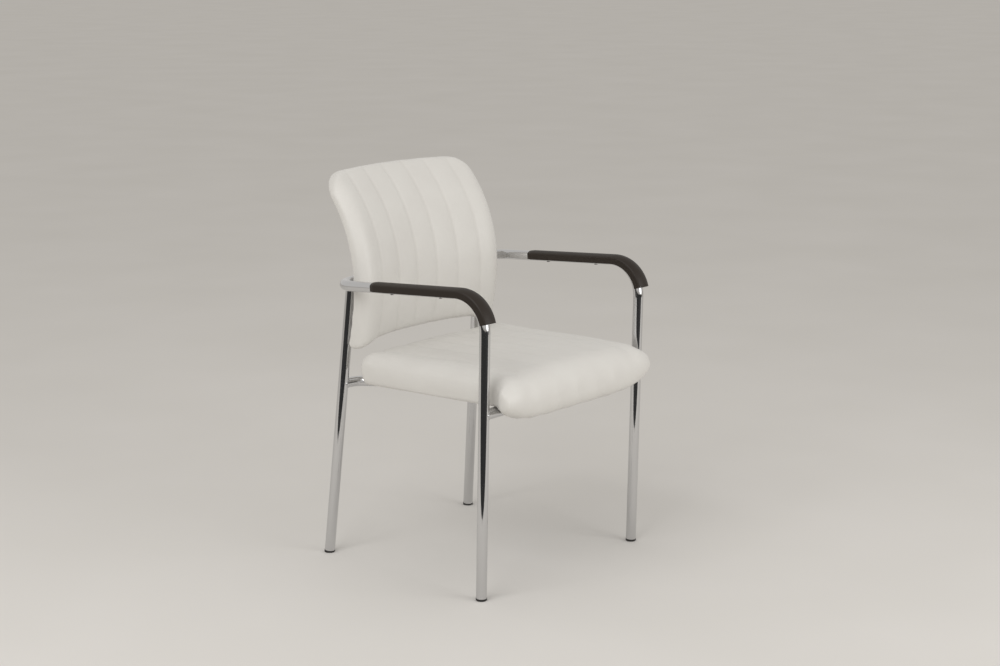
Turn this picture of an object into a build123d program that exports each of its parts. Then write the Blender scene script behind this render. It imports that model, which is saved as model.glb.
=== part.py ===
from build123d import *
import os
from math import asin, cos, degrees, radians, sin, sqrt, tan

# Visitor chair. Sizes in millimetres, angles in degrees.
# +X is the sitter's left, +Y the rear, Z rises from the floor, X = 0 is the middle plane.

# Frame tube
tube_d = 22.0
tube_wall = 1.5
cope_trim = 4.0
weld_gap = 0.05

# Side tubes: front leg, arm rail and rear bend
seat_side_gap = 15.0
front_foot_y = -215.0
front_leg_lean = 1.1
arm_slope = 3.9
front_bend_r = 70.0
rear_bend_r = 48.0

# Back tube and rear legs
back_tube_z = 599.0
back_joint_inset = 64.0
rear_leg_top_inset = 50.0
rear_foot_inset = 25.0
rear_foot_y = 239.0

# Rear cross tube: short stubs off the rear legs, then forward under the seat
rear_run_y = 95.0
rear_run_half = 105.0
rear_stub_in = 35.0
rear_stub_forward = 8.0
rear_cross_bend_r = 35.0

# Foot plugs
foot_d = 22.8
foot_h = 5.0
foot_insert_l = 25.0
foot_insert_gap = 0.2
foot_edge_r = 1.5

# Back form: upright profile of two arcs, bent about an upright axis ahead of the chair
back_front_y = 152.0
back_plan_r = 782.0
lumbar_z = 592.0
back_top_lean = 50.24
back_bottom_lean = 15.5
back_half_width = 223.0
back_bottom_z = 472.0
back_top_z = 828.0
back_top_arch = 4.0
back_top_fall = 12.0
back_bottom_rise = 3.0
back_bottom_droop = 10.0
back_top_corner_r = 54.0
back_bottom_corner_r = 12.0
back_thickness = 42.0
back_edge_roll = 38.0
back_front_roll_r = 18.0
back_rear_roll_r = 6.0
back_foam_cover_t = 9.0
back_foam_margin = 34.0

# Sewn channels on seat and back
channel_pitch = 63.0
channel_count = 6
back_channel_depth = 3.0
seat_channel_depth = 2.4

# Back board and rear panel inside the cover
back_board_t = 9.0
back_board_margin = 24.0
back_board_corner_r = 30.0
rear_panel_t = 5.0
rear_panel_margin = 14.0
rear_panel_corner_r = 38.0

# Back plates on the back tube
back_plate_t = 4.0
back_plate_x = 95.0
back_plate_w = 56.0
back_plate_h = 120.0
back_plate_corner_r = 10.0
back_screw_spread = 42.0

# Seat
seat_z = 396.0
seat_tilt = 1.35
seat_half_width = 228.0
seat_front_y = -283.0
seat_rear_y = 164.0
seat_rear_bow = 18.0
seat_rear_corner_r = 24.0
seat_side_h = 57.0
seat_crown = 7.0
seat_side_roll = 30.0
seat_side_tuck = 7.0
seat_side_drop = 3.0
seat_rear_roll = 30.0
seat_rear_tuck = 8.0
seat_nose_r = 52.0
seat_nose_level = 0.38
seat_rear_level = 0.45
seat_front_fall = 4.0
seat_rear_fall = 3.0
seat_lip_drop = 34.0
seat_lip_end_drop = 3.0
seat_lip_slope = 2.0
seat_lip_roll = 24.0
seat_lip_back_gap = 2.0
seat_lip_corner_r = 90.0

# Ends of the front lip, which stand out ahead of the front legs
ear_stand_out = 14.5
ear_root_inset = 38.0
ear_roll = 40.0
ear_low = -24.0
ear_low_draw = 26.0
ear_high = 46.0
ear_high_draw = 24.0
ear_inset = 2.0
ear_inset_draw = 16.0
ear_brow_share = 0.8
ear_heel_share = 0.5

# Seat board, foam and dust cover
seat_board_t = 12.0
seat_board_margin = 15.0
seat_board_front_margin = 31.0
seat_board_corner_r = 30.0
dust_cover_t = 1.0
dust_cover_margin = 8.0
seat_foam_top = 47.0
seat_foam_margin = 14.0
seat_foam_edge_r = 15.0

# Seat tabs on the cross tubes
tab_t = 4.0
tab_w = 46.0
tab_l = 54.0
tab_overlap = 6.0
tab_corner_r = 8.0
tab_hole_offset = 30.0
front_tab_x = 120.0
rear_tab_x = 58.0

# Fasteners
screw_d = 6.0
screw_head_d = 11.0
screw_head_h = 3.2
screw_hole_gap = 0.6
head_seat_gap = 0.1
tee_flange_d = 19.0
tee_flange_t = 1.4
tee_barrel_d = 8.4
tee_barrel_gap = 0.2
tee_bore_gap = 0.2
tee_thread_l = 7.0

# Arm pads
pad_front_half_w = 17.0
pad_rear_half_w = 15.5
pad_nose_half_w = 13.0
pad_over_tube = 1.5
pad_crown = 5.0
pad_shoulder_r = 4.0
pad_gap = 0.2
pad_nose_drop = 1.2
pad_lip = 6.5
pad_nose_l = 10.0
pad_rear_y = 72.0
pad_wrap = 79.0
pad_screw_d = 4.0
pad_screw_head_d = 8.0
pad_screw_head_h = 1.6
pad_screw_l = 20.0
pad_boss_d = 8.0
pad_boss_l = 9.0
pad_screw_inset = 50.0

# General clearance between pieces that are not welded, and the reach of a cut that goes right through
fit_gap = 0.3
cut_through = 30.0

# Turns at which a rolled edge is drawn, and its largest rounding as a share of the thickness there
roll_steps = (0, 30, 55, 75)
roll_share = 0.45

# Values that follow from the sizes above
tube_r = tube_d / 2
arm_x = seat_half_width + seat_side_gap + tube_r
back_joint_x = arm_x - back_joint_inset
rear_leg_top_x = arm_x - rear_leg_top_inset
rear_foot_x = arm_x - rear_foot_inset
lean = tan(radians(front_leg_lean))
rise = tan(radians(arm_slope))
plan_axis_y = back_front_y - back_plan_r
back_upper_r = (back_top_z - lumbar_z) / sin(radians(back_top_lean))
back_lower_r = (lumbar_z - back_bottom_z) / sin(radians(back_bottom_lean))
sides = (("left", 1), ("right", -1))
channel_x = [(i - (channel_count - 1) / 2) * channel_pitch for i in range(channel_count)]


def back_r(z, depth):
    """Distance from the upright axis of the surface that lies depth behind the front face."""
    bend_r = back_upper_r if z > lumbar_z else back_lower_r
    return back_plan_r + depth + bend_r - sqrt(bend_r**2 - (z - lumbar_z) ** 2)


def back_point(x, z, depth):
    """Point of a layer of the back in the upright plane at x, measured from the upright axis."""
    return (sqrt(back_r(z, depth) ** 2 - x**2), z)


def back_arcs(x, depth, start, end):
    """Upright line of a layer in the plane at x, from height start through the lumbar line to end."""
    for low, high in ((start, lumbar_z), (lumbar_z, end)):
        ThreePointArc(*[back_point(x, z, depth) for z in (low, (low + high) / 2, high)])


def back_loop(x, near, far, near_ends, far_ends):
    """Closed outline in the plane at x between two layers, each from its low end to its high end."""
    back_arcs(x, near, *near_ends)
    Line(back_point(x, near_ends[1], near), back_point(x, far_ends[1], far))
    back_arcs(x, far, far_ends[1], far_ends[0])
    Line(back_point(x, far_ends[0], far), back_point(x, near_ends[0], near))


def back_pitch(z):
    """Lean of the back's layers at height z."""
    return asin((z - lumbar_z) / (back_upper_r if z > lumbar_z else back_lower_r))


def save(part, name):
    part.label = name
    export_step(part, f"parts/{name}.step")


def rod(points, radii, radius):
    """Solid round bar along straight runs joined by bends."""
    with BuildPart() as bar:
        with BuildLine() as run:
            FilletPolyline(*points, radius=radii)
        with BuildSketch(Plane(origin=run.line @ 0, z_dir=run.line % 0)):
            Circle(radius)
        sweep()
    return bar.part


def straight_rod(start, end, radius):
    axis = Vector(end) - Vector(start)
    with BuildPart() as bar:
        with BuildSketch(Plane(origin=start, z_dir=axis)):
            Circle(radius)
        extrude(amount=axis.length)
    return bar.part


os.makedirs("parts", exist_ok=True)

# Frame layout
bow_r = back_r(back_tube_z, back_thickness + fit_gap + back_plate_t) + tube_r + weld_gap
joint_y = plan_axis_y + sqrt(bow_r**2 - back_joint_x**2)
joint_slope = tan(asin(back_joint_x / bow_r))
rear_corner_y = joint_y - (arm_x - back_joint_x) * joint_slope
corner_z = (back_tube_z + (rear_corner_y - front_foot_y) * rise) / (1 - lean * rise)
corner_y = front_foot_y - lean * corner_z
rear_top_y = joint_y - (rear_leg_top_x - back_joint_x) * joint_slope


def side_points(sign, low):
    """Corner points of one side tube, starting at height low on the front leg."""
    return [
        (sign * arm_x, front_foot_y - lean * low, low),
        (sign * arm_x, corner_y, corner_z),
        (sign * arm_x, rear_corner_y, back_tube_z),
        (sign * back_joint_x, joint_y, back_tube_z),
    ]


def rear_leg_point(sign, z):
    """Point on the axis of a rear leg at height z."""
    share = z / back_tube_z
    x = rear_foot_x + (rear_leg_top_x - rear_foot_x) * share
    y = rear_foot_y + (rear_top_y - rear_foot_y) * share
    return Vector(sign * x, y, z)


# Seat plane: the underside of the seat board
seat_plane = Plane(
    origin=(0, 0, seat_z),
    x_dir=(1, 0, 0),
    z_dir=(0, sin(radians(seat_tilt)), cos(radians(seat_tilt))),
)
tube_drop = dust_cover_t + tab_t + tube_r
front_tube_v = -tube_drop
tilt_sin = sin(radians(seat_tilt))
tilt_cos = cos(radians(seat_tilt))
front_tube_u = (
    front_foot_y - lean * (seat_z + front_tube_v * tilt_cos) - front_tube_v * tilt_sin
) / (tilt_cos - lean * tilt_sin)
front_tube = seat_plane.from_local_coords(Vector(0, front_tube_u, front_tube_v))
rear_tube = seat_plane.from_local_coords(Vector(0, rear_run_y, -tube_drop))

# Arm pad screws: along the rail, square to it, from below
rail_dir = Vector(0, rear_corner_y - corner_y, back_tube_z - corner_z).normalized()
rail_up = Vector(0, -rail_dir.Z, rail_dir.Y)
bend_tangent = front_bend_r * tan(radians(90 - arm_slope + front_leg_lean) / 2)
pad_start = pad_rear_y - corner_y
pad_screw_at = (pad_start - pad_screw_inset, bend_tangent + pad_screw_inset)


def rail_point(sign, along):
    """Point on the rail axis at a distance from the front corner."""
    return Vector(sign * arm_x, corner_y, corner_z) + rail_dir * along


# Side tubes: bent tube, drilled for the pad screws
side_rods = {}
for side, sign in sides:
    side_rods[side] = rod(side_points(sign, foot_h), (front_bend_r, rear_bend_r), tube_r)
    with BuildPart() as side_tube:
        with BuildLine() as side_run:
            FilletPolyline(*side_points(sign, foot_h), radius=(front_bend_r, rear_bend_r))
        with BuildSketch(Plane(origin=side_run.line @ 0, z_dir=side_run.line % 0)):
            Circle(tube_r)
            Circle(tube_r - tube_wall, mode=Mode.SUBTRACT)
        sweep()
        for along in pad_screw_at:
            with BuildSketch(Plane(origin=rail_point(sign, along), z_dir=rail_up)):
                Circle((pad_screw_d + screw_hole_gap) / 2)
            extrude(amount=-tube_d, mode=Mode.SUBTRACT)
            with BuildSketch(Plane(origin=rail_point(sign, along), z_dir=rail_up)):
                Circle((pad_boss_d + screw_hole_gap) / 2)
            extrude(amount=tube_d, mode=Mode.SUBTRACT)
    save(side_tube.part, f"side_tube_{side}")

# Back tube: bowed to follow the back, butted between the side tubes
with BuildPart() as back_tube:
    with BuildLine() as bow:
        ThreePointArc(
            (-back_joint_x, joint_y, back_tube_z),
            (0, plan_axis_y + bow_r, back_tube_z),
            (back_joint_x, joint_y, back_tube_z),
        )
    with BuildSketch(Plane(origin=bow.line @ 0, z_dir=bow.line % 0)):
        Circle(tube_r)
        Circle(tube_r - tube_wall, mode=Mode.SUBTRACT)
    sweep()
save(back_tube.part, "back_tube")

# Rear legs: straight tubes, coped under the side tubes
leg_rods = {}
for side, sign in sides:
    leg_rods[side] = straight_rod(rear_leg_point(sign, foot_h), rear_leg_point(sign, back_tube_z), tube_r)
    leg_axis = rear_leg_point(sign, back_tube_z - cope_trim) - rear_leg_point(sign, foot_h)
    with BuildPart() as rear_leg:
        with BuildSketch(Plane(origin=rear_leg_point(sign, foot_h), z_dir=leg_axis)):
            Circle(tube_r)
            Circle(tube_r - tube_wall, mode=Mode.SUBTRACT)
        extrude(amount=leg_axis.length)
        add(side_rods[side], mode=Mode.SUBTRACT)
    save(rear_leg.part, f"rear_leg_{side}")

# Front cross tube: straight, coped between the front legs
with BuildPart() as front_cross_tube:
    with BuildSketch(Plane(origin=(cope_trim - arm_x, front_tube.Y, front_tube.Z), z_dir=(1, 0, 0))):
        Circle(tube_r)
        Circle(tube_r - tube_wall, mode=Mode.SUBTRACT)
    extrude(amount=2 * (arm_x - cope_trim))
    for side, sign in sides:
        add(side_rods[side], mode=Mode.SUBTRACT)
save(front_cross_tube.part, "front_cross_tube")

# Rear cross tube: leaves the rear legs and bends forward under the seat
stub_root = rear_leg_point(1, rear_tube.Z)
elbow = (stub_root.X - rear_stub_in, stub_root.Y - rear_stub_forward)
stub_start = (stub_root.X - cope_trim, stub_root.Y - cope_trim * rear_stub_forward / rear_stub_in)
right_half = [stub_start, elbow, (rear_run_half, rear_tube.Y)]
rear_route = [(x, y, rear_tube.Z) for x, y in right_half]
rear_route += [(-x, y, rear_tube.Z) for x, y in reversed(right_half)]
with BuildPart() as rear_cross_tube:
    with BuildLine() as rear_run:
        FilletPolyline(*rear_route, radius=rear_cross_bend_r)
    with BuildSketch(Plane(origin=rear_run.line @ 0, z_dir=rear_run.line % 0)):
        Circle(tube_r)
        Circle(tube_r - tube_wall, mode=Mode.SUBTRACT)
    sweep()
    for side, sign in sides:
        add(leg_rods[side], mode=Mode.SUBTRACT)
save(rear_cross_tube.part, "rear_cross_tube")

# Foot plugs: collar under the tube end, insert in its bore, cut flat on the floor
for side, sign in sides:
    ends = {
        "front": (Vector(*side_points(sign, foot_h)[0]), Vector(*side_points(sign, foot_h)[1])),
        "rear": (rear_leg_point(sign, foot_h), rear_leg_point(sign, back_tube_z)),
    }
    for row, (low, high) in ends.items():
        up = (high - low).normalized()
        with BuildPart() as foot_plug:
            with BuildSketch(Plane(origin=low, z_dir=up)):
                Circle(tube_r - tube_wall - foot_insert_gap)
            extrude(amount=foot_insert_l)
            with BuildSketch(Plane(origin=low, z_dir=up)):
                Circle(foot_d / 2)
            extrude(amount=-2 * foot_h)
            split(bisect_by=Plane.XY, keep=Keep.TOP)
            sole = foot_plug.faces().sort_by(Axis.Z)[0]
            chamfer(sole.edges(), length=foot_edge_r)
        save(foot_plug.part, f"foot_plug_{row}_{side}")

# Seat fasteners' places in the seat plane: x, u and the tab's centre
tab_middle = tab_l / 2 - tab_overlap
tab_rows = {
    "front": (front_tab_x, front_tube_u + tab_middle, front_tube_u + tab_hole_offset),
    "rear": (rear_tab_x, rear_run_y - tab_middle, rear_run_y - tab_hole_offset),
}
seat_holes = [(sign * x, hole_u) for x, middle, hole_u in tab_rows.values() for name, sign in sides]

# Seat tabs: flat plates welded on top of the cross tubes
for row, (x, middle, hole_u) in tab_rows.items():
    for side, sign in sides:
        with BuildPart() as seat_tab:
            with BuildSketch(seat_plane.offset(-dust_cover_t - tab_t)):
                with Locations((sign * x, middle)):
                    RectangleRounded(tab_w, tab_l, tab_corner_r)
                with Locations((sign * x, hole_u)):
                    Circle((screw_d + screw_hole_gap) / 2, mode=Mode.SUBTRACT)
            extrude(amount=tab_t)
        save(seat_tab.part, f"seat_tab_{row}_{side}")


def seat_board_lines(grow):
    """Plan lines of the seat board, grown by a margin all round."""
    half = seat_half_width - seat_board_margin + grow
    front = seat_front_y + seat_board_front_margin - grow
    rear = seat_rear_y - seat_board_margin + grow
    corner = rear - seat_rear_bow
    Polyline((-half, corner), (-half, front), (half, front), (half, corner))
    ThreePointArc((half, corner), (0, rear), (-half, corner))


# Seat board: plywood, counterbored for the tee nuts
with BuildPart() as seat_board:
    with BuildSketch(seat_plane) as board_plan:
        with BuildLine():
            seat_board_lines(0)
        make_face()
        fillet(board_plan.vertices(), seat_board_corner_r)
    extrude(amount=seat_board_t)
    with Locations(seat_plane.offset(seat_board_t)):
        with Locations(seat_holes):
            CounterBoreHole(
                radius=tee_barrel_d / 2 + tee_barrel_gap,
                counter_bore_radius=tee_flange_d / 2 + tee_barrel_gap,
                counter_bore_depth=tee_flange_t,
            )
save(seat_board.part, "seat_board")

# Dust cover: thin cloth stapled under the board
with BuildPart() as seat_dust_cover:
    with BuildSketch(seat_plane) as cover_plan:
        with BuildLine():
            seat_board_lines(-dust_cover_margin)
        make_face()
        fillet(cover_plan.vertices(), seat_board_corner_r)
        with Locations(seat_holes):
            Circle((screw_d + screw_hole_gap) / 2, mode=Mode.SUBTRACT)
    extrude(amount=-dust_cover_t)
save(seat_dust_cover.part, "seat_dust_cover")


def seat_section_plane(x):
    return Plane(origin=(x, 0, seat_z), x_dir=seat_plane.y_dir, z_dir=(1, 0, 0))


def quarter(start, end, upright_first):
    """Arc of about a quarter turn between two points, bulging away from the seat's middle."""
    bulge = sin(radians(45))
    a, b = (bulge, 1 - bulge) if upright_first else (1 - bulge, bulge)
    middle = (start[0] + (end[0] - start[0]) * b, start[1] + (end[1] - start[1]) * a)
    ThreePointArc(start, middle, end)


lip_back = front_tube_u - tube_r - seat_lip_back_gap


def seat_loop(x, sink, roll):
    """Side view of the seat at x, its top sunk by sink; roll is the turn of the side's rounding."""
    shrink = 1 - cos(radians(roll))
    top = seat_side_h + seat_crown * (1 - (x / seat_half_width) ** 2) - sink - seat_side_roll * shrink
    low = seat_side_tuck * shrink - seat_side_drop
    rear_corner = max(0, abs(x) - seat_half_width + seat_rear_corner_r)
    rear = seat_rear_y - seat_rear_bow * (x / seat_half_width) ** 2
    rear -= seat_rear_corner_r - sqrt(seat_rear_corner_r**2 - rear_corner**2)
    lip_corner = max(0, abs(x) - seat_half_width + seat_lip_corner_r) / seat_lip_corner_r
    lip = low - seat_lip_end_drop - (seat_lip_drop - seat_lip_end_drop) * sqrt(1 - lip_corner**2)
    front = seat_front_y + seat_side_roll * shrink / 2
    nose_v = lip + seat_nose_level * (top - lip)
    brow = (front + seat_nose_r, top - seat_front_fall)
    nape = (rear - seat_rear_roll, top - seat_rear_fall)
    tail = (rear - seat_rear_tuck, low)
    heel = (front + seat_lip_roll, lip)
    ThreePointArc(tail, (rear, low + seat_rear_level * (top - low)), nape)
    ThreePointArc(nape, ((nape[0] + brow[0]) / 2, top), brow)
    quarter(brow, (front, nose_v), False)
    quarter((front, nose_v), heel, True)
    Polyline(heel, (lip_back, lip + seat_lip_slope), (lip_back, low), tail)


# Seat foam: block with a rounded top edge, on the board
with BuildPart() as seat_foam:
    with BuildSketch(seat_plane.offset(seat_board_t + fit_gap)) as foam_plan:
        with BuildLine():
            seat_board_lines(-seat_foam_margin)
        make_face()
        fillet(foam_plan.vertices(), seat_board_corner_r)
    extrude(amount=seat_foam_top - seat_board_t - fit_gap)
    fillet(seat_foam.faces().sort_by(Axis.Z)[-1].edges(), seat_foam_edge_r)
save(seat_foam.part, "seat_foam")

# Seat cover stations, panel by panel: x, sink and roll
seat_panels = []
for left_x, right_x in zip(channel_x, channel_x[1:]):
    crest = ((left_x + right_x) / 2, 0, 0)
    seat_panels.append([(left_x, seat_channel_depth, 0), crest, (right_x, seat_channel_depth, 0)])
flank_x = seat_half_width - seat_side_roll
for side, sign in sides:
    flank = [(sign * (flank_x + seat_side_roll * sin(radians(turn))), 0, turn) for turn in roll_steps]
    seat_panels.append([(sign * channel_x[-1], seat_channel_depth, 0)] + flank)

# Stations of the lip's ends: x, inset, low and high
ear_stations = []
for turn in roll_steps:
    draw = 1 - cos(radians(turn))
    x = seat_half_width + ear_stand_out - ear_roll * (1 - sin(radians(turn)))
    low = ear_low + ear_low_draw * draw
    high = ear_high - ear_high_draw * draw
    ear_stations.append((x, ear_inset + ear_inset_draw * draw, low, high))
ear_stations.insert(0, (seat_half_width - ear_root_inset, ear_inset, ear_low, ear_high))


def ear_loop(front, rear, low, high):
    """Side view of an end of the lip, rounded like the lip in front and drawn in behind."""
    middle = low + seat_nose_level * (high - low)
    brow = (front + ear_brow_share * (rear - front), high)
    heel = (front + ear_heel_share * (rear - front), low)
    quarter(brow, (front, middle), False)
    quarter((front, middle), heel, True)
    quarter(heel, (rear, middle), False)
    quarter((rear, middle), brow, True)


# Seat cover: padded panels between sewn channels, rolled sides, front lip with rounded ends, hollow below
with BuildPart() as seat_cover:
    for stations in seat_panels:
        for x, sink, roll in stations:
            with BuildSketch(seat_section_plane(x)):
                with BuildLine():
                    seat_loop(x, sink, roll)
                make_face()
        loft()
    for side, sign in sides:
        for x, inset, low, high in ear_stations:
            with BuildSketch(seat_section_plane(sign * x)):
                with BuildLine():
                    ear_loop(seat_front_y + inset, lip_back - inset, low, high)
                make_face()
        loft()
    with BuildSketch(seat_plane.offset(-2 * seat_side_drop)) as pocket_plan:
        with BuildLine():
            seat_board_lines(fit_gap)
        make_face()
        fillet(pocket_plan.vertices(), seat_board_corner_r)
    extrude(amount=2 * seat_side_drop + seat_board_t + fit_gap, mode=Mode.SUBTRACT)
    with BuildSketch(seat_plane) as foam_room:
        with BuildLine():
            seat_board_lines(fit_gap - seat_foam_margin)
        make_face()
        fillet(foam_room.vertices(), seat_board_corner_r)
    extrude(amount=seat_foam_top + fit_gap, mode=Mode.SUBTRACT)
save(seat_cover.part, "seat_cover")


def screw_group(planes, length):
    """Button-head screws, one per plane: head below the plane, shank along its normal."""
    with BuildPart() as group:
        for place in planes:
            with BuildSketch(place):
                Circle(screw_head_d / 2)
            extrude(amount=-screw_head_h)
            with BuildSketch(place):
                Circle(screw_d / 2)
            extrude(amount=length)
    return group.part


def tee_nut_group(planes):
    """Tee nuts, one per plane: flange below the plane, barrel against its normal."""
    with BuildPart() as group:
        for place in planes:
            with BuildSketch(place):
                Circle(tee_flange_d / 2)
                Circle((screw_d + tee_bore_gap) / 2, mode=Mode.SUBTRACT)
            extrude(amount=-tee_flange_t)
            with BuildSketch(place.offset(-tee_flange_t)):
                Circle(tee_barrel_d / 2)
                Circle((screw_d + tee_bore_gap) / 2, mode=Mode.SUBTRACT)
            extrude(amount=-tee_thread_l)
    return group.part


def seat_place(x, u, v):
    return Plane(origin=seat_plane.from_local_coords(Vector(x, u, v)), z_dir=seat_plane.z_dir)


# Seat fasteners: screws from below through the tabs into tee nuts in the board
seat_grip = tab_t + dust_cover_t + seat_board_t - tee_flange_t
seat_screws = screw_group([seat_place(x, u, -dust_cover_t - tab_t) for x, u in seat_holes], seat_grip)
save(seat_screws, "seat_screws")
seat_tee_nuts = tee_nut_group([seat_place(x, u, seat_board_t) for x, u in seat_holes])
save(seat_tee_nuts, "seat_tee_nuts")


def back_shell(near, far, width, low, high, corner_r, middle_x=0):
    """Curved sheet of the back between two depths, with a rounded rectangle as its front view."""
    with BuildPart() as shell:
        edge_turn = asin(back_half_width / back_plan_r)
        start = Plane(
            origin=(0, plan_axis_y, 0),
            x_dir=(sin(edge_turn), cos(edge_turn), 0),
            z_dir=(cos(edge_turn), -sin(edge_turn), 0),
        )
        with BuildSketch(start):
            with BuildLine():
                back_loop(0, near, far, (low, high), (low, high))
            make_face()
        revolve(axis=Axis((0, plan_axis_y, 0), (0, 0, 1)), revolution_arc=2 * degrees(edge_turn))
        with BuildSketch(Plane.XZ):
            with Locations((middle_x, (low + high) / 2)):
                RectangleRounded(width, high - low, corner_r)
        extrude(amount=back_plan_r, both=True, mode=Mode.INTERSECT)
    return shell.part


def inset_shell(near, far, margin, corner_r):
    """Curved sheet that stays a margin inside the outline of the back."""
    low = back_bottom_z + back_bottom_rise + margin
    high = back_top_z - back_top_arch - back_top_fall - margin
    return back_shell(near, far, 2 * (back_half_width - margin), low, high, corner_r)


# Depths of the layers of the back, from its front face
panel_front = back_thickness - rear_panel_t
board_rear = panel_front - fit_gap
board_front = board_rear - back_board_t
plate_front = back_thickness + fit_gap
plate_rear = plate_front + back_plate_t


def back_place(x, z, depth):
    """Plane across a screw axis where it meets a layer, facing forward and square to the layers."""
    r = back_r(z, back_thickness)
    turn = asin(x / r)
    pitch = back_pitch(z)
    normal = (-sin(turn) * cos(pitch), -cos(turn) * cos(pitch), sin(pitch))
    rear = Plane(origin=(r * sin(turn), plan_axis_y + r * cos(turn), z), z_dir=normal)
    return rear.offset((back_thickness - depth) * cos(pitch))


back_levels = (back_tube_z - back_screw_spread, back_tube_z + back_screw_spread)
back_holes = [(sign * back_plate_x, z) for name, sign in sides for z in back_levels]

# Back board: moulded plywood, counterbored for the tee nuts
board_sheet = inset_shell(board_front, board_rear, back_board_margin, back_board_corner_r)
with BuildPart() as back_board:
    add(board_sheet)
    for x, z in back_holes:
        with Locations(back_place(x, z, board_front)):
            CounterBoreHole(
                radius=tee_barrel_d / 2 + tee_barrel_gap,
                counter_bore_radius=tee_flange_d / 2 + tee_barrel_gap,
                counter_bore_depth=tee_flange_t + fit_gap,
                depth=cut_through,
            )
save(back_board.part, "back_board")

# Rear panel: covered board that closes the back, drilled for the screws
panel_sheet = inset_shell(panel_front, back_thickness, rear_panel_margin, rear_panel_corner_r)
with BuildPart() as back_rear_panel:
    add(panel_sheet)
    for x, z in back_holes:
        with BuildSketch(back_place(x, z, panel_front)):
            Circle((screw_d + screw_hole_gap) / 2)
        extrude(amount=cut_through, both=True, mode=Mode.SUBTRACT)
save(back_rear_panel.part, "back_rear_panel")

# Back plates: pressed to the curve of the back, welded to the front of the back tube
plate_low = back_tube_z - back_plate_h / 2
plate_high = back_tube_z + back_plate_h / 2
for side, sign in sides:
    middle_x = sign * back_plate_x
    plate_sheet = back_shell(
        plate_front, plate_rear, back_plate_w, plate_low, plate_high, back_plate_corner_r, middle_x
    )
    with BuildPart() as back_plate:
        add(plate_sheet)
        for z in back_levels:
            with BuildSketch(back_place(middle_x, z, plate_front)):
                Circle((screw_d + screw_hole_gap) / 2)
            extrude(amount=cut_through, both=True, mode=Mode.SUBTRACT)
    save(back_plate.part, f"back_plate_{side}")

# Back fasteners: screws from behind through the plates into tee nuts in the board
back_grip = plate_rear - board_front - tee_flange_t
head_places = [back_place(x, z, plate_rear).offset(-head_seat_gap) for x, z in back_holes]
back_screws = screw_group(head_places, back_grip)
save(back_screws, "back_screws")
back_tee_nuts = tee_nut_group([back_place(x, z, board_front).offset(-fit_gap) for x, z in back_holes])
save(back_tee_nuts, "back_tee_nuts")

# Back foam: curved slab in front of the board
foam_rear = board_front - fit_gap
back_foam = inset_shell(back_foam_cover_t, foam_rear, back_foam_margin, back_board_corner_r)
save(back_foam, "back_foam")


def edge_depth(sink, roll):
    """Depth of the cover's front face where it is sunk at a channel or rolled at an edge."""
    return sink + back_edge_roll * (1 - cos(radians(roll)))


def back_ends(x):
    """Low and high ends of the cover's front face at x, drawn in at the rounded corners."""
    top_corner = max(0, abs(x) - back_half_width + back_top_corner_r)
    high = back_top_z - back_top_arch * (x / back_half_width) ** 2
    high -= back_top_corner_r - sqrt(back_top_corner_r**2 - top_corner**2)
    bottom_corner = max(0, abs(x) - back_half_width + back_bottom_corner_r)
    low = back_bottom_z - back_bottom_droop * (x / back_half_width) ** 4
    low += back_bottom_corner_r - sqrt(back_bottom_corner_r**2 - bottom_corner**2)
    return low, high


# Back cover stations, panel by panel: x, sink and roll
back_panels = []
for left_x, right_x in zip(channel_x, channel_x[1:]):
    crest = ((left_x + right_x) / 2, 0, 0)
    back_panels.append([(left_x, back_channel_depth, 0), crest, (right_x, back_channel_depth, 0)])
edge_x = back_half_width - back_edge_roll
for side, sign in sides:
    edge = [(sign * (edge_x + back_edge_roll * sin(radians(turn))), 0, turn) for turn in roll_steps]
    back_panels.append([(sign * channel_x[-1], back_channel_depth, 0)] + edge)

# Back cover: padded panels between sewn channels, rolled edges, hollow behind for foam, board and panel
foam_room = inset_shell(
    back_foam_cover_t - fit_gap, board_front, back_foam_margin - fit_gap, back_board_corner_r
)
board_room = inset_shell(
    board_front - fit_gap, board_rear + fit_gap, back_board_margin - fit_gap, back_board_corner_r
)
panel_room = inset_shell(
    panel_front - fit_gap, 2 * back_thickness, rear_panel_margin - fit_gap, rear_panel_corner_r
)
with BuildPart() as back_cover:
    for stations in back_panels:
        for x, sink, roll in stations:
            near = edge_depth(sink, roll)
            thickness = back_thickness - near
            front_ends = back_ends(x)
            rear_low = front_ends[0] + back_bottom_rise * thickness / back_thickness
            rear_high = front_ends[1] - back_top_fall * thickness / back_thickness
            rear_ends = (rear_low, rear_high)
            largest_r = [roll_share * thickness * cos(back_pitch(z)) for z in front_ends]
            section = Plane(origin=(x, plan_axis_y, 0), x_dir=(0, 1, 0), z_dir=(1, 0, 0))
            with BuildSketch(section) as view:
                with BuildLine():
                    back_loop(x, near, back_thickness, front_ends, rear_ends)
                make_face()
                for front_z, rear_z, limit in zip(front_ends, rear_ends, largest_r):
                    front_corner = back_point(x, front_z, near)
                    fillet(view.vertices().sort_by_distance(front_corner)[0], min(back_front_roll_r, limit))
                    rear_corner = back_point(x, rear_z, back_thickness)
                    fillet(view.vertices().sort_by_distance(rear_corner)[0], min(back_rear_roll_r, limit))
        loft()
    add(foam_room, mode=Mode.SUBTRACT)
    add(board_room, mode=Mode.SUBTRACT)
    add(panel_room, mode=Mode.SUBTRACT)
save(back_cover.part, "back_cover")


def pad_lines(half_w, top, lip):
    """Section of an arm pad about the rail axis: crowned top, upright sides, flat lips below."""
    shoulder = top - pad_crown
    Polyline((half_w, shoulder), (half_w, -lip), (-half_w, -lip), (-half_w, shoulder))
    ThreePointArc((-half_w, shoulder), (0, top), (half_w, shoulder))


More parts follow.
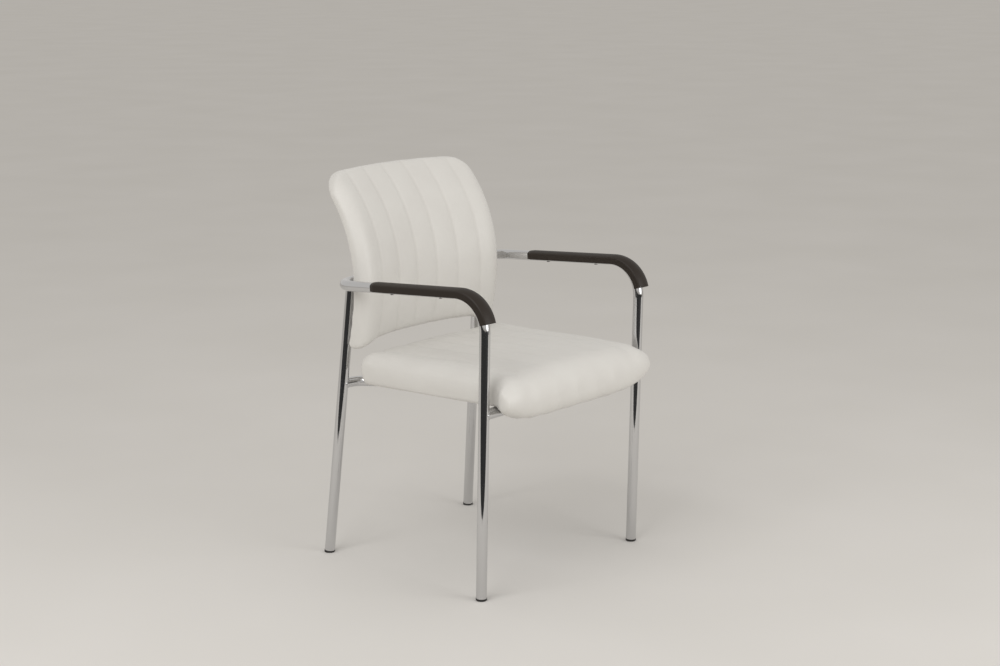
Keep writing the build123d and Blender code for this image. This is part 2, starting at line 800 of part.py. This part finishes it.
# Arm pad stations along the rail, from the front corner: distance, half width, top and lip
pad_top = tube_r + pad_over_tube
pad_nose = (pad_start, pad_nose_half_w, pad_top - pad_nose_drop, pad_lip - pad_nose_drop / 2)
pad_rear = (pad_start - pad_nose_l, pad_rear_half_w, pad_top, pad_lip)
pad_front = (bend_tangent, pad_front_half_w, pad_top, pad_lip)
pad_runs = ((pad_nose, pad_rear), (pad_rear, pad_front))

# Arm pads: moulded caps over the rail and the front bend, open below, with bosses that enter the rail
for side, sign in sides:
    pad_room = rod(side_points(sign, foot_h), (front_bend_r, rear_bend_r), tube_r + pad_gap)
    with BuildPart() as arm_pad:
        for run in pad_runs:
            for along, half_w, top, lip in run:
                section = Plane(origin=rail_point(sign, along), x_dir=(1, 0, 0), z_dir=-rail_dir)
                with BuildSketch(section) as pad_view:
                    with BuildLine():
                        pad_lines(half_w, top, lip)
                    make_face()
                    fillet(pad_view.vertices().group_by(Axis.Y)[-1], pad_shoulder_r)
            loft()
        section = Plane(origin=rail_point(sign, bend_tangent), x_dir=(1, 0, 0), z_dir=-rail_dir)
        with BuildSketch(section) as pad_view:
            with BuildLine():
                pad_lines(*pad_front[1:])
            make_face()
            fillet(pad_view.vertices().group_by(Axis.Y)[-1], pad_shoulder_r)
        bend_centre = rail_point(sign, bend_tangent) - rail_up * front_bend_r
        revolve(axis=Axis(bend_centre, (1, 0, 0)), revolution_arc=pad_wrap)
        add(pad_room, mode=Mode.SUBTRACT)
        for along in pad_screw_at:
            boss_top = rail_point(sign, along) + rail_up * (tube_r + pad_gap)
            with BuildSketch(Plane(origin=boss_top, z_dir=rail_up)):
                Circle(pad_boss_d / 2)
            extrude(amount=-pad_boss_l)
            under_rail = rail_point(sign, along) - rail_up * tube_r
            with BuildSketch(Plane(origin=under_rail, z_dir=rail_up)):
                Circle((pad_screw_d + tee_bore_gap) / 2)
            extrude(amount=pad_screw_l + fit_gap, mode=Mode.SUBTRACT)
    save(arm_pad.part, f"arm_pad_{side}")

# Arm pad screws: from below, through the rail, into the pad's bosses
with BuildPart() as arm_pad_screws:
    for side, sign in sides:
        for along in pad_screw_at:
            under_rail = rail_point(sign, along) - rail_up * tube_r
            with BuildSketch(Plane(origin=under_rail, z_dir=rail_up)):
                Circle(pad_screw_head_d / 2)
            extrude(amount=-pad_screw_head_h)
            with BuildSketch(Plane(origin=under_rail, z_dir=rail_up)):
                Circle(pad_screw_d / 2)
            extrude(amount=pad_screw_l)
save(arm_pad_screws.part, "arm_pad_screws")
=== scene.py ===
import math

import bpy
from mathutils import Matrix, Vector


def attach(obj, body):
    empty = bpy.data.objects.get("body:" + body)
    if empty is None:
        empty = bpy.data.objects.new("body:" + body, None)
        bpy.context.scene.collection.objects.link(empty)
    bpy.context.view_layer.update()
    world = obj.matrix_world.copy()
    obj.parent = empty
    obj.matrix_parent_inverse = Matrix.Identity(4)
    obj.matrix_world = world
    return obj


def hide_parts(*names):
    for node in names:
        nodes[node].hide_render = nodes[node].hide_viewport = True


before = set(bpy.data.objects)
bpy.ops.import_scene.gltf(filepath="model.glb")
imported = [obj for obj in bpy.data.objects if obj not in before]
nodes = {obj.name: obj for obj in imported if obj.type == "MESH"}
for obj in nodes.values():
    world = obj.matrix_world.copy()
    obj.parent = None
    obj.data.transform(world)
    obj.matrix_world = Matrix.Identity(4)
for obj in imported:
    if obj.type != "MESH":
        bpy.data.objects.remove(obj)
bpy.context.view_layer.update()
bpy.ops.object.select_all(action="DESELECT")

# Tube frame: two bent side tubes, a bowed back tube, two rear legs and two cross tubes, with the
# tabs and plates that carry the seat and the back. Steel, 22 mm tube and 4 mm plate, coped and
# welded, then bright chrome plated all over.
mm = 0.001


def linear(hex_colour):
    """Linear colour of an sRGB hex value."""
    parts = [int(hex_colour[i : i + 2], 16) / 255 for i in (1, 3, 5)]
    return [c / 12.92 if c <= 0.04045 else ((c + 0.055) / 1.055) ** 2.4 for c in parts] + [1.0]


def add(tree, kind, inputs=(), **settings):
    """A new node with its settings; each input is a value, or a socket to link from."""
    made = tree.nodes.new(kind)
    for key, value in settings.items():
        setattr(made, key, value)
    for name, value in dict(inputs).items():
        if isinstance(value, bpy.types.NodeSocket):
            tree.links.new(value, made.inputs[name])
        else:
            made.inputs[name].default_value = value
    return made


def start_material(name):
    """An empty material, its node tree, and the Object coordinates that its patterns read."""
    material = bpy.data.materials.new(name)
    material.use_nodes = True
    tree = material.node_tree
    tree.nodes.clear()
    place = add(tree, "ShaderNodeTexCoord").outputs["Object"]
    return material, tree, place


def end_material(tree, shader):
    """Joins a finished shader to the material's output."""
    add(tree, "ShaderNodeOutputMaterial", {"Surface": shader.outputs["BSDF"]})


def dress(names, material):
    """Gives CAD nodes a material in place of their plain one."""
    for name in names:
        nodes[name].data.materials.clear()
        nodes[name].data.materials.append(material)


# Bright chrome on drawn tube: mirror-like, with faint handling marks a few centimetres long.
chrome_mark_mm = 30
chrome, tree, place = start_material("chrome_plate")
marks = add(tree, "ShaderNodeTexNoise",
            {"Vector": place, "Scale": 1 / (chrome_mark_mm * mm), "Detail": 4.0})
gloss = add(tree, "ShaderNodeMapRange",
            {"Value": marks.outputs["Fac"], "From Min": 0.35, "From Max": 0.7,
             "To Min": 0.045, "To Max": 0.10})
shader = add(tree, "ShaderNodeBsdfPrincipled",
             {"Base Color": linear("#d3d3d4"), "Metallic": 1.0, "Roughness": gloss.outputs["Result"]})
end_material(tree, shader)
tubes = ["side_tube_left", "side_tube_right", "back_tube", "rear_leg_left", "rear_leg_right"]
tubes += ["front_cross_tube", "rear_cross_tube"]
dress(tubes, chrome)
plates = ["seat_tab_front_left", "seat_tab_front_right", "seat_tab_rear_left", "seat_tab_rear_right"]
plates += ["back_plate_left", "back_plate_right"]
dress(plates, chrome)

# Weld beads: fillets where the cross tubes and the rear legs meet the tubes that they are coped to.
# Run by hand with filler wire, dressed with a file and chromed over together with the tubes.
tube_r = 11 * mm
bead_r = 1.4 * mm
bead_ripple = 0.12
bead_waves = 9
bead_points = 48
# A point on each tube's axis, in mm, and the way that the axis runs, on the sitter's left.
front_leg = ((254, -215, 0), (0, -0.0192, 1))
rear_leg = ((229, 239, 0), (-25, -54.6, 599))
rear_bend = ((204, 184.4, 599), (-64, 14.9, 0))
front_cross = ((0, -222.4, 385.2), (1, 0, 0))
rear_stub = ((178.2, 196.6, 377.8), (35, 8, 0))
coped_joints = [(front_cross, front_leg), (rear_stub, rear_leg), (rear_leg, rear_bend)]


def bead_path(coped, post):
    """The closed line where one tube runs into the side of another of the same size."""
    start, run = Vector(coped[0]) * mm, Vector(coped[1]).normalized()
    post_at, post_run = Vector(post[0]) * mm, Vector(post[1]).normalized()
    side = run.orthogonal().normalized()
    over = run.cross(side)
    across = run - post_run * run.dot(post_run)
    path = []
    for step in range(bead_points):
        turn = 2 * math.pi * step / bead_points
        ray = start + (side * math.cos(turn) + over * math.sin(turn)) * tube_r
        off = ray - post_at
        off -= post_run * off.dot(post_run)
        half = off.dot(across)
        inside = half**2 - across.length_squared * (off.length_squared - tube_r**2)
        path.append(ray + run * (-half - math.sqrt(max(0.0, inside))) / across.length_squared)
    return path


beads = bpy.data.curves.new("weld_beads", "CURVE")
beads.dimensions = "3D"
beads.bevel_depth = bead_r
beads.bevel_resolution = 3
for coped, post in coped_joints:
    for hand in (1, -1):
        bead = beads.splines.new("POLY")
        bead.points.add(bead_points - 1)
        bead.use_cyclic_u = True
        for step, (point, at) in enumerate(zip(bead.points, bead_path(coped, post))):
            point.co = (hand * at.x, at.y, at.z, 1)
            point.radius = 1 + bead_ripple * math.sin(2 * math.pi * bead_waves * step / bead_points)
weld_beads = bpy.data.objects.new("weld_beads", beads)
bpy.context.collection.objects.link(weld_beads)
bpy.context.view_layer.objects.active = weld_beads
weld_beads.select_set(True)
bpy.ops.object.convert(target="MESH")
bpy.ops.object.shade_smooth()
weld_beads.data.materials.append(chrome)
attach(weld_beads, "root")

# Foot plugs: collars pushed into the tube ends.
# Moulded black polyethylene, matt, with fine scuffs from the floor.
scuff_mm = 2.5
plug_plastic, tree, place = start_material("black_polyethylene")
scuff = add(tree, "ShaderNodeTexNoise",
            {"Vector": place, "Scale": 1 / (scuff_mm * mm), "Detail": 3.0})
shade = add(tree, "ShaderNodeMix",
            {"Factor": scuff.outputs["Fac"], "A": linear("#161514"), "B": linear("#24221f")},
            data_type="RGBA")
shader = add(tree, "ShaderNodeBsdfPrincipled",
             {"Base Color": shade.outputs["Result"], "Roughness": 0.55, "IOR": 1.5})
end_material(tree, shader)
dress([name for name in nodes if name.startswith("foot_plug")], plug_plastic)

# Boards: the seat board and the back board that the upholstery is stapled to.
# Birch plywood, moulded to a curve for the back, plain and unvarnished, with layered edges.
ply_mm = 1.5
grain_mm = 5
grain_stretch = 0.06
plywood, tree, place = start_material("birch_plywood")
layers = add(tree, "ShaderNodeTexWave",
             {"Vector": place, "Scale": 0.5 / (ply_mm * mm), "Distortion": 0.4},
             bands_direction="Z")
along_grain = add(tree, "ShaderNodeMapping", {"Vector": place, "Scale": (grain_stretch, 1.0, 1.0)})
grain = add(tree, "ShaderNodeTexNoise",
            {"Vector": along_grain.outputs["Vector"], "Scale": 1 / (grain_mm * mm), "Detail": 6.0})
mixed = add(tree, "ShaderNodeMath",
            {0: layers.outputs["Fac"], 1: grain.outputs["Fac"]}, operation="MULTIPLY")
shade = add(tree, "ShaderNodeMix",
            {"Factor": mixed.outputs["Value"], "A": linear("#d9bd8c"), "B": linear("#a67f4c")},
            data_type="RGBA")
shader = add(tree, "ShaderNodeBsdfPrincipled",
             {"Base Color": shade.outputs["Result"], "Roughness": 0.65})
end_material(tree, shader)
dress(["seat_board", "back_board"], plywood)

# Foams: a block on the seat board and a curved slab on the back board, glued down under the covers.
# Cut polyurethane foam, cream, with open pores of about a millimetre.
pore_mm = 1.2
foam, tree, place = start_material("cut_polyurethane_foam")
pores = add(tree, "ShaderNodeTexVoronoi", {"Vector": place, "Scale": 1 / (pore_mm * mm)})
shade = add(tree, "ShaderNodeMix",
            {"Factor": pores.outputs["Distance"], "A": linear("#b9a878"), "B": linear("#e9dfb9")},
            data_type="RGBA")
bump = add(tree, "ShaderNodeBump",
           {"Height": pores.outputs["Distance"], "Strength": 0.7, "Distance": pore_mm * mm})
shader = add(tree, "ShaderNodeBsdfPrincipled",
             {"Base Color": shade.outputs["Result"], "Roughness": 0.95,
              "Normal": bump.outputs["Normal"]})
end_material(tree, shader)
dress(["seat_foam", "back_foam"], foam)

# Seat cushion: leatherette sewn in six channels over wadding and foam, its front lip rolled down.
# The cover is pulled round the board and stapled under it, and the stuffing presses it out.
cushion_voxel = 5.25 * mm
ease_rounds = 3
channel_count = 6
channel_pitch = 63 * mm
channel_lines = [(i - (channel_count - 1) / 2) * channel_pitch for i in range(channel_count)]
groove_depth = 0.5 * mm
groove_half_width = 3.6 * mm
groove_lean = 1.6
seam_hold = 0.8
seam_reach = 9 * mm
stuffing_pressure = 4
swell_cap = 4.5 * mm
swell_frames = 20


def merged_copy(name, sources):
    """Copies of CAD nodes as one selected object, with their loose triangles merged."""
    bpy.ops.object.select_all(action="DESELECT")
    for source in sources:
        copy = bpy.data.objects.new(name, nodes[source].data.copy())
        bpy.context.collection.objects.link(copy)
        copy.matrix_world = nodes[source].matrix_world
        copy.select_set(True)
        bpy.context.view_layer.objects.active = copy
    if len(sources) > 1:
        bpy.ops.object.join()
    form = bpy.context.object
    form.name = name
    bpy.ops.object.transform_apply(location=True, rotation=True, scale=True)
    bpy.ops.object.mode_set(mode="EDIT")
    bpy.ops.mesh.select_all(action="SELECT")
    bpy.ops.mesh.remove_doubles(threshold=0.01 * mm)
    bpy.ops.object.mode_set(mode="OBJECT")
    return form


def soft_form(name, filled_by):
    """One closed form with eased edges, remeshed from copies of the CAD solids that fill it."""
    form = merged_copy(name, filled_by)
    remesh = form.modifiers.new("remesh", "REMESH")
    remesh.mode = "VOXEL"
    remesh.voxel_size = cushion_voxel
    bpy.ops.object.modifier_apply(modifier="remesh")
    ease = form.modifiers.new("ease", "SMOOTH")
    ease.factor = 0.5
    ease.iterations = ease_rounds
    bpy.ops.object.modifier_apply(modifier="ease")
    return form


def unit(value):
    """The value, kept between 0 and 1."""
    return min(1.0, max(0.0, value))


def to_line(x):
    """Distance from x to the nearest channel line."""
    return min(abs(x - line) for line in channel_lines)


def near_line(x, half_width):
    """1 on a channel line, falling to 0 a half width away from it."""
    return max(0.0, 1 - to_line(x) / half_width)


def shape(form, move_at):
    """Moves each point of a form by what move_at gives for its place."""
    for v in form.data.vertices:
        v.co += move_at(v.co)
    form.data.update()


def near_corner(co, corner, radius):
    """1 at a corner, the same on both sides of the chair, falling smoothly to 0 at the radius."""
    gap = (Vector((abs(co.x), co.y, co.z)) - Vector(corner)).length / radius
    return (1 - min(1.0, gap) ** 2) ** 2


def plump(form, sunk, share):
    """Fills the CAD form's channels again, by a share of how far they are sunk."""
    for v in form.data.vertices:
        v.co += v.normal * sunk * near_line(v.co.x, channel_pitch / 2) ** 2 * share(v.co, v.normal)
    form.data.update()


def round_off(form, share, rounds):
    """Eases the form where share is above 0, so that pieces of one roll run into each other."""
    group = form.vertex_groups.new(name="eased")
    for v in form.data.vertices:
        group.add([v.index], share(v.co, v.normal), "REPLACE")
    ease = form.modifiers.new("round_off", "SMOOTH")
    ease.vertex_group = "eased"
    ease.factor = 0.5
    ease.iterations = rounds
    bpy.ops.object.modifier_apply(modifier="round_off")


def stuff(form, held):
    """Presses the form out as stuffing does, except where it is sewn or stapled."""
    group = form.vertex_groups.new(name="held")
    for v in form.data.vertices:
        group.add([v.index], held(v.co, v.normal), "REPLACE")
    before = [v.co.copy() for v in form.data.vertices]
    cloth = form.modifiers.new("stuffing", "CLOTH")
    cloth.settings.vertex_group_mass = "held"
    cloth.settings.use_pressure = True
    cloth.settings.uniform_pressure_force = stuffing_pressure
    cloth.settings.effector_weights.gravity = 0
    cloth.point_cache.frame_end = swell_frames
    for frame_number in range(1, swell_frames + 1):
        bpy.context.scene.frame_set(frame_number)
    bpy.ops.object.modifier_apply(modifier="stuffing")
    bpy.context.scene.frame_set(1)
    for v, start in zip(form.data.vertices, before):
        move = v.co - start
        if move.length > 0:
            v.co = start + move.normalized() * swell_cap * math.tanh(move.length / swell_cap)


def sew(form, depth_at):
    """Draws the cover in along its channel lines and keeps how deep each point lies as a crease, which
    the leatherette darkens as painted shade.
    """
    fine = form.modifiers.new("fine", "SUBSURF")
    fine.levels = 1
    fine.render_levels = 1
    bpy.ops.object.modifier_apply(modifier="fine")
    crease = form.data.attributes.new("crease", "FLOAT", "POINT")
    normals = [v.normal.copy() for v in form.data.vertices]
    for v, normal in zip(form.data.vertices, normals):
        draw = math.exp(-0.5 * (to_line(v.co.x) / groove_half_width) ** 2) * depth_at(v.co, normal)
        crease.data[v.index].value = draw
        v.co -= normal * draw * groove_depth
    form.data.update()
    bpy.ops.object.shade_smooth()


seat_height = 396 * mm
seat_fall = math.tan(math.radians(1.35))
seat_channel_depth = 2.4 * mm
stapled_height = 6 * mm
rear_corner = (215 * mm, 138 * mm, 440 * mm)
rear_corner_reach = 130 * mm
rear_corner_push = (2 * mm, 4 * mm, 5.5 * mm)
rear_corner_foot = 25 * mm
rim_start = 200 * mm
rim_width = 15 * mm
rim_height = 32 * mm
rim_bag = 4.5 * mm
lip_rear = -236 * mm
lip_front_of = -225 * mm
lip_end_from = 120 * mm
lip_end_to = 236 * mm
lip_rounds = 30
lip_fade_from = -270 * mm
lip_fade = 200 * mm
refill_from = 20 * mm
refill_run = 200 * mm
refill_least = 0.35


def over_seat_plane(co):
    """Height over the underside of the seat board."""
    return co.z - seat_height + co.y * seat_fall


def seat_moves(co):
    """The rear corners are stuffed full, and the cover bags a little below the edge of the board."""
    full = near_corner(co, rear_corner, rear_corner_reach)
    full *= unit(over_seat_plane(co) / rear_corner_foot)
    aside, back, up = rear_corner_push
    out = Vector((math.copysign(aside, co.x), back, up)) * full
    rim = unit((abs(co.x) - rim_start) / rim_width) if co.y > lip_rear else 0.0
    low = unit((rim_height - over_seat_plane(co)) / rim_height)
    return out - Vector((0, 0, rim_bag * rim * low))


def seat_plump(co, normal):
    """The channels are filled up at the front lip, and less towards the rear, where they show."""
    filled = min(1.0, max(refill_least, (refill_from - co.y) / refill_run))
    return max(0.0, normal.z, -normal.y) * filled


def lip_end(co, normal):
    """1 on the front of the lip near its ends, where the corner runs into the long roll."""
    near_end = lip_end_from < abs(co.x) < lip_end_to
    return 1.0 if normal.y < -0.1 and co.y < lip_front_of and near_end else 0.0


def seat_held(co, normal):
    """1 under the seat, seam_hold along the channel lines of its top, 0 where the stuffing is free."""
    stapled = over_seat_plane(co) < stapled_height and co.y > lip_rear
    under = 1.0 if normal.z < -0.5 or stapled else 0.0
    sewn = seam_hold * near_line(co.x, seam_reach) if normal.z > 0.2 else 0.0
    return max(under, sewn)


def seat_draw(co, normal):
    """The channels are deepest at the rear of the seat and fade out over the front lip."""
    return unit((co.y - lip_fade_from) / lip_fade) * unit(normal.z * groove_lean)


seat_cushion = soft_form("seat_cushion", ["seat_cover", "seat_board", "seat_foam"])
shape(seat_cushion, seat_moves)
plump(seat_cushion, seat_channel_depth, seat_plump)
round_off(seat_cushion, lip_end, lip_rounds)
stuff(seat_cushion, seat_held)
sew(seat_cushion, seat_draw)

# Leatherette, embossed with a fine pebble grain over a soft knit: satin, warm off-white, with painted
# shade greying the sewn lines, and never one even tone. The grain is drawn at twice its real 0.6 mm.
pebble_mm = 1.2
patch_mm = 70
# How strongly the painted shade darkens the sewn lines.
line_shade_share = 0.07
leatherette, tree, place = start_material("embossed_leatherette")
patches = add(tree, "ShaderNodeTexNoise",
              {"Vector": place, "Scale": 1 / (patch_mm * mm), "Detail": 3.0})
tone = add(tree, "ShaderNodeMix",
           {"Factor": patches.outputs["Fac"], "A": linear("#d0cdc8"), "B": linear("#d8d6d1")},
           data_type="RGBA")
# Painted shade: the crease depth mixes the sewn lines towards a darker grey, standing in for the shade
# that falls in the grooves.
sewn_line = add(tree, "ShaderNodeAttribute", attribute_name="crease")
painted_line_shade = add(tree, "ShaderNodeMath",
             {0: sewn_line.outputs["Fac"], 1: line_shade_share}, operation="MULTIPLY")
shade = add(tree, "ShaderNodeMix",
            {"Factor": painted_line_shade.outputs["Value"], "A": tone.outputs["Result"], "B": linear("#b3ada3")},
            data_type="RGBA")
pebbles = add(tree, "ShaderNodeTexVoronoi",
              {"Vector": place, "Scale": 1 / (pebble_mm * mm)}, feature="SMOOTH_F1")
bump = add(tree, "ShaderNodeBump",
           {"Height": pebbles.outputs["Distance"], "Strength": 0.25, "Distance": 0.1 * mm})
satin = add(tree, "ShaderNodeMapRange",
            {"Value": patches.outputs["Fac"], "To Min": 0.42, "To Max": 0.55})
shader = add(tree, "ShaderNodeBsdfPrincipled",
             {"Base Color": shade.outputs["Result"], "Roughness": satin.outputs["Result"],
              "Normal": bump.outputs["Normal"], "Sheen Weight": 0.08})
end_material(tree, shader)


def upholster(form, node):
    """Puts a finished cushion in the place of its CAD cover."""
    form.data.materials.clear()
    form.data.materials.append(leatherette)
    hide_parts(node)
    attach(form, "root")


upholster(seat_cushion, "seat_cover")

# Dust cover: thin black sheet stapled over the underside of the seat board.
# Spun-bonded polypropylene, matt, with the small welded points of its calender.
point_mm = 2.0
spunbond, tree, place = start_material("spunbonded_polypropylene")
points = add(tree, "ShaderNodeTexVoronoi",
             {"Vector": place, "Scale": 1 / (point_mm * mm), "Randomness": 0.15})
shade = add(tree, "ShaderNodeMix",
            {"Factor": points.outputs["Distance"], "A": linear("#0f0f10"), "B": linear("#242426")},
            data_type="RGBA")
bump = add(tree, "ShaderNodeBump",
           {"Height": points.outputs["Distance"], "Strength": 0.5, "Distance": 0.2 * mm})
shader = add(tree, "ShaderNodeBsdfPrincipled",
             {"Base Color": shade.outputs["Result"], "Roughness": 0.85,
              "Normal": bump.outputs["Normal"]})
end_material(tree, shader)
dress(["seat_dust_cover"], spunbond)

# Back cushion: the same leatherette in upright channels, over wadding and foam on the curved board.
# Its edges roll round to the rear, where the cover is stapled under the rear panel.
back_channel_depth = 3 * mm
back_refill = 0.5
low_corner = (212 * mm, 160 * mm, 466 * mm)
low_corner_reach = 65 * mm
low_corner_drop = 8 * mm


def back_moves(co):
    """The lower corners are drawn down to points."""
    return Vector((0, 0, -low_corner_drop)) * near_corner(co, low_corner, low_corner_reach)


def back_plump(co, normal):
    """The channels of the front face come up evenly all over."""
    return max(0.0, -normal.y) * back_refill


def back_held(co, normal):
    """1 on the rear, seam_hold along the channel lines of the front, 0 where the stuffing is free."""
    behind = 1.0 if normal.y > 0.35 else 0.0
    sewn = seam_hold * near_line(co.x, seam_reach) if normal.y < -0.2 else 0.0
    return max(behind, sewn)


def back_draw(co, normal):
    """The sewn lines run from the top edge to the bottom edge, and end where the edges roll back."""
    return unit(-normal.y * groove_lean)


back_cushion = soft_form("back_cushion", ["back_cover", "back_board", "back_foam"])
shape(back_cushion, back_moves)
plump(back_cushion, back_channel_depth, back_plump)
stuff(back_cushion, back_held)
sew(back_cushion, back_draw)
upholster(back_cushion, "back_cover")

# Rear panel: thin curved board in the same leatherette, let into the rear of the back.
# Pressed board, covered, and held by the screws of the back plates, which pass through it.
dress(["back_rear_panel"], leatherette)

# Arm pads: caps over the rails and their front bends, screwed up from below through the tube.
# Integral-skin polyurethane, warm black, with a fine moulded grain and a low sheen.
skin_mm = 0.9
arm_skin, tree, place = start_material("integral_skin_polyurethane")
skin = add(tree, "ShaderNodeTexNoise",
           {"Vector": place, "Scale": 1 / (skin_mm * mm), "Detail": 4.0})
shade = add(tree, "ShaderNodeMix",
            {"Factor": skin.outputs["Fac"], "A": linear("#1f1711"), "B": linear("#2b2219")},
            data_type="RGBA")
bump = add(tree, "ShaderNodeBump",
           {"Height": skin.outputs["Fac"], "Strength": 0.3, "Distance": 0.1 * mm})
shader = add(tree, "ShaderNodeBsdfPrincipled",
             {"Base Color": shade.outputs["Result"], "Roughness": 0.5, "Specular IOR Level": 0.36,
              "Normal": bump.outputs["Normal"]})
end_material(tree, shader)
dress(["arm_pad_left", "arm_pad_right"], arm_skin)

# Fasteners: button-head screws and the tee nuts that they enter.
# Zinc-plated steel, bright with a cool cast and faint blotches of passivation.
blotch_mm = 4
zinc, tree, place = start_material("zinc_plated_steel")
blotch = add(tree, "ShaderNodeTexNoise",
             {"Vector": place, "Scale": 1 / (blotch_mm * mm), "Detail": 2.0})
shade = add(tree, "ShaderNodeMix",
            {"Factor": blotch.outputs["Fac"], "A": linear("#a9adb2"), "B": linear("#c8cac6")},
            data_type="RGBA")
gloss = add(tree, "ShaderNodeMapRange",
            {"Value": blotch.outputs["Fac"], "To Min": 0.25, "To Max": 0.45})
shader = add(tree, "ShaderNodeBsdfPrincipled",
             {"Base Color": shade.outputs["Result"], "Metallic": 1.0,
              "Roughness": gloss.outputs["Result"]})
end_material(tree, shader)
dress(["seat_screws", "seat_tee_nuts", "back_screws", "back_tee_nuts"], zinc)

# Arm pad screws: low pan heads under the rails, which draw the pads down onto the tube.
# Black zinc-plated steel, dark grey with a dull shine, brighter in patches where it is worn.
black_zinc, tree, place = start_material("black_zinc_plated_steel")
blotch = add(tree, "ShaderNodeTexNoise",
             {"Vector": place, "Scale": 1 / (blotch_mm * mm), "Detail": 2.0})
shade = add(tree, "ShaderNodeMix",
            {"Factor": blotch.outputs["Fac"], "A": linear("#454341"), "B": linear("#6a6865")},
            data_type="RGBA")
shader = add(tree, "ShaderNodeBsdfPrincipled",
             {"Base Color": shade.outputs["Result"], "Metallic": 1.0, "Roughness": 0.35})
end_material(tree, shader)
rail_rear = Vector((0, 172.8, 599)) * mm
rail_slope = math.radians(3.9)
rail_under = Vector((0, -math.sin(rail_slope), -math.cos(rail_slope)))
head_share = 0.4


def head_moves(co):
    """Lowers the heads to a share of how far the CAD solid's stand out under the rail."""
    proud = (co - rail_rear).dot(rail_under) - tube_r
    return -rail_under * max(0.0, proud) * (1 - head_share)


pad_screws = merged_copy("pad_screws", ["arm_pad_screws"])
shape(pad_screws, head_moves)
bpy.ops.object.shade_smooth_by_angle(angle=math.radians(30))
pad_screws.data.materials.clear()
pad_screws.data.materials.append(black_zinc)
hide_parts("arm_pad_screws")
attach(pad_screws, "root")

# Stage floor: a plain pale floor that reaches past the edges of the picture.
# Painted matt, and cloudy by a level or two over half a metre.
floor_size = 90
cloud_mm = 500
bpy.ops.mesh.primitive_plane_add(size=floor_size)
floor = bpy.context.object
floor.name = "floor"
paint, tree, place = start_material("matt_floor_paint")
clouds = add(tree, "ShaderNodeTexNoise",
             {"Vector": place, "Scale": 1 / (cloud_mm * mm), "Detail": 2.0})
shade = add(tree, "ShaderNodeMix",
            {"Factor": clouds.outputs["Fac"], "A": linear("#d6d3ce"), "B": linear("#dddad6")},
            data_type="RGBA")
shader = add(tree, "ShaderNodeBsdfPrincipled",
             {"Base Color": shade.outputs["Result"], "Roughness": 0.9, "Specular IOR Level": 0.0})
end_material(tree, shader)
floor.data.materials.append(paint)

# Dark flag: a black cloth laid on the floor between the camera and the chair, as in a studio.
# Only reflections see it, so it gives the chrome its dark streaks and leaves the floor pale.
view_turn = math.radians(-50.03)
ahead = (-math.sin(view_turn), math.cos(view_turn), 0)
flag_width = 11.0
flag_depth = 5.0
flag_reach = 3.35
flag_lift = 2 * mm
bpy.ops.mesh.primitive_plane_add(size=1)
flag = bpy.context.object
flag.name = "dark_flag"
flag.scale = (flag_width, flag_depth, 1)
flag.location = (-flag_reach * ahead[0], -flag_reach * ahead[1], flag_lift)
flag.rotation_euler.z = view_turn
flag.visible_camera = False
flag.visible_diffuse = False
flag.visible_transmission = False
flag.visible_shadow = False
black_cloth, tree, place = start_material("black_flag_cloth")
shader = add(tree, "ShaderNodeBsdfPrincipled", {"Base Color": linear("#0c0c0c"), "Roughness": 1.0})
end_material(tree, shader)
flag.data.materials.append(black_cloth)

# Studio light: an even grey room, a soft box high on the sitter's right and one low in front.
world = bpy.data.worlds.new("studio")
bpy.context.scene.world = world
world.use_nodes = True
room = world.node_tree.nodes["Background"]
room.inputs["Color"].default_value = linear("#d2d0cd")
room.inputs["Strength"].default_value = 1.0
chair_middle = (0, 0, 0.5)


def soft_box(name, place, size, power):
    """A square soft box at place, turned to face the chair."""
    bpy.ops.object.light_add(type="AREA", location=place)
    lamp = bpy.context.object
    lamp.name = name
    lamp.data.size = size
    lamp.data.energy = power
    facing = Vector(chair_middle) - Vector(place)
    lamp.rotation_euler = facing.to_track_quat("-Z", "Y").to_euler()


soft_box("key", place=(-2.7, -0.3, 2.6), size=2.2, power=41)
soft_box("front", place=(0.4, -3.3, 1.3), size=2.0, power=33)

# Camera: at the photograph's viewing angle, as it was fitted to the feet and the legs of the chair.
view_drop = math.radians(11.99)
view_place = (-3.122, -2.668, 1.352)
sensor_mm = 36
lens_mm = 70.96
bpy.ops.object.camera_add(location=view_place, rotation=(math.pi / 2 - view_drop, 0, view_turn))
camera = bpy.context.object
camera.data.sensor_width = sensor_mm
camera.data.sensor_fit = "HORIZONTAL"
camera.data.lens = lens_mm
bpy.context.scene.camera = camera
bpy.context.scene.view_settings.view_transform = "Standard"
